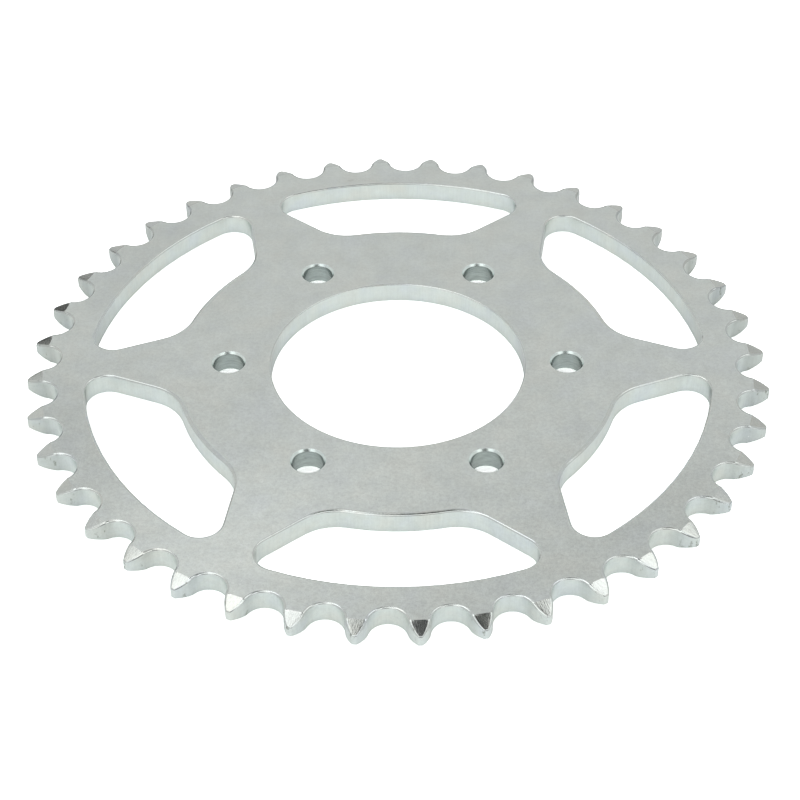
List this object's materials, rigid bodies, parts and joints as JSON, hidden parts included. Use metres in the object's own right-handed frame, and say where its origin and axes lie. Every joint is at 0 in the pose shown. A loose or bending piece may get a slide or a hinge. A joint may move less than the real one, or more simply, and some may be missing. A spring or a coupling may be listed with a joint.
{
  "type": "motorcycle rear sprocket",
  "caption": "Flat steel chain sprocket with a wide pilot bore, countersunk bolt holes and lightening windows between tapered arms.",
  "frame": {"origin": "centre of the pilot bore on the lower face, the one that lies against the wheel hub", "axes": "+Z along the wheel's axis, from the hub face towards the countersunk outer face; +X through one bolt hole"},
  "size_m": [0.2094, 0.2094, 0.006],
  "materials": {
    "zinc_steel": "clear zinc plated, satin"
  },
  "bodies": {
    "root": {"sprocket": "zinc_steel"}
  },
  "joints": []
}
